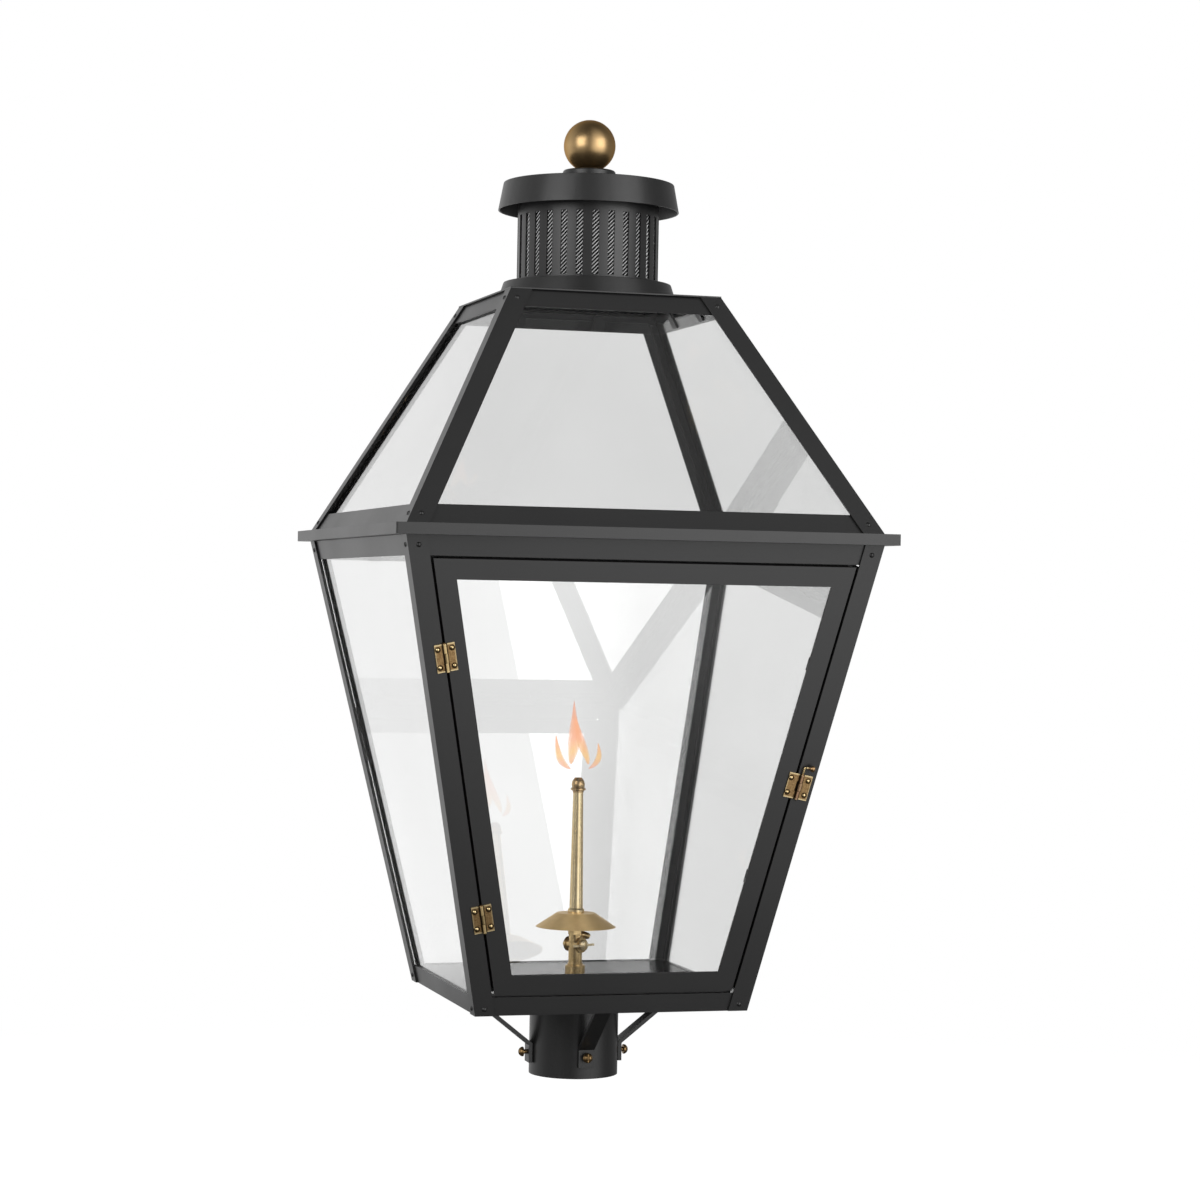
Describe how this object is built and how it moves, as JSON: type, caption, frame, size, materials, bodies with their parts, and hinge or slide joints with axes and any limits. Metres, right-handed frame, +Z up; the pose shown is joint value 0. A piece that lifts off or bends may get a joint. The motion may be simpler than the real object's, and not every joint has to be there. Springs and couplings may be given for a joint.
{
  "type": "outdoor gas light",
  "caption": "Square post lantern with a tapered glazed body, a hinged door with a lift-pin latch, a hipped glass roof, a slotted chimney with a ball finial and an open-flame gas burner.",
  "frame": {"origin": "centre of the mouth of the post socket, at the lowest plane of the lantern", "axes": "+Z up along the post, -Y out of the door, +X to the right of someone facing the door"},
  "size_m": [0.454, 0.454, 0.8876],
  "materials": {
    "black_paint": "satin",
    "antique_brass": "brushed",
    "burner_brass": "satin",
    "finial_brass": "satin",
    "steel_mesh": "satin",
    "clear_glass": "gloss"
  },
  "bodies": {
    "lantern": {"post_fitter": "black_paint", "floor_plate": "black_paint", "braces": "black_paint", "fitter_screws": "antique_brass", "bottom_rail_front": "black_paint", "bottom_rail_right": "black_paint", "bottom_rail_back": "black_paint", "bottom_rail_left": "black_paint", "corner_post_front_left": "black_paint", "corner_post_front_right": "black_paint", "corner_post_back_right": "black_paint", "corner_post_back_left": "black_paint", "upper_rail_front": "black_paint", "upper_rail_right": "black_paint", "upper_rail_back": "black_paint", "upper_rail_left": "black_paint", "eave": "black_paint", "roof_hip_front_left": "black_paint", "roof_hip_front_right": "black_paint", "roof_hip_back_right": "black_paint", "roof_hip_back_left": "black_paint", "roof_base_rails": "black_paint", "roof_top_rails": "black_paint", "pane_right": "clear_glass", "pane_back": "clear_glass", "pane_left": "clear_glass", "roof_pane_front": "clear_glass", "roof_pane_right": "clear_glass", "roof_pane_back": "clear_glass", "roof_pane_left": "clear_glass", "pane_clips": "black_paint", "frame_fasteners": "black_paint", "top_plate": "black_paint", "vent_base": "black_paint", "vent_cylinder": "black_paint", "vent_mesh": "steel_mesh", "vent_cap": "black_paint", "vent_rod": "black_paint", "finial_collar": "black_paint", "finial_ball": "finial_brass", "door_stop": "black_paint", "hinge_post_leaves": "antique_brass", "hinge_pins": "antique_brass", "post_leaf_rivets": "antique_brass", "latch_post_leaf": "antique_brass", "gas_inlet": "burner_brass", "gas_coupling": "burner_brass", "valve_body": "burner_brass", "burner_dish": "burner_brass", "burner_tube": "burner_brass", "burner_tip": "burner_brass"},
    "door": {"door_frame": "black_paint", "door_glass": "clear_glass", "door_clips": "black_paint", "hinge_door_leaves": "antique_brass", "latch_door_leaf": "antique_brass", "door_leaf_rivets": "antique_brass"},
    "pin": {"latch_pin": "antique_brass"},
    "key": {"valve_key": "burner_brass", "valve_nut": "burner_brass"}
  },
  "joints": [
    {"name": "door_swing", "type": "hinge", "parent": "lantern", "child": "door", "pos_m": [-0.12596, -0.14707, 0.15964], "axis": [0.2036, 0.2036, -0.9577], "range_deg": [0, 120]},
    {"name": "latch_pin_lift", "type": "slide", "parent": "lantern", "child": "pin", "axis": [0.2036, -0.2036, 0.9577], "range_m": [0, 0.028]},
    {"name": "valve_turn", "type": "hinge", "parent": "lantern", "child": "key", "pos_m": [0, 0, 0.1195], "axis": [0.4848, -0.8746, 0], "range_deg": [0, 90]}
  ]
}
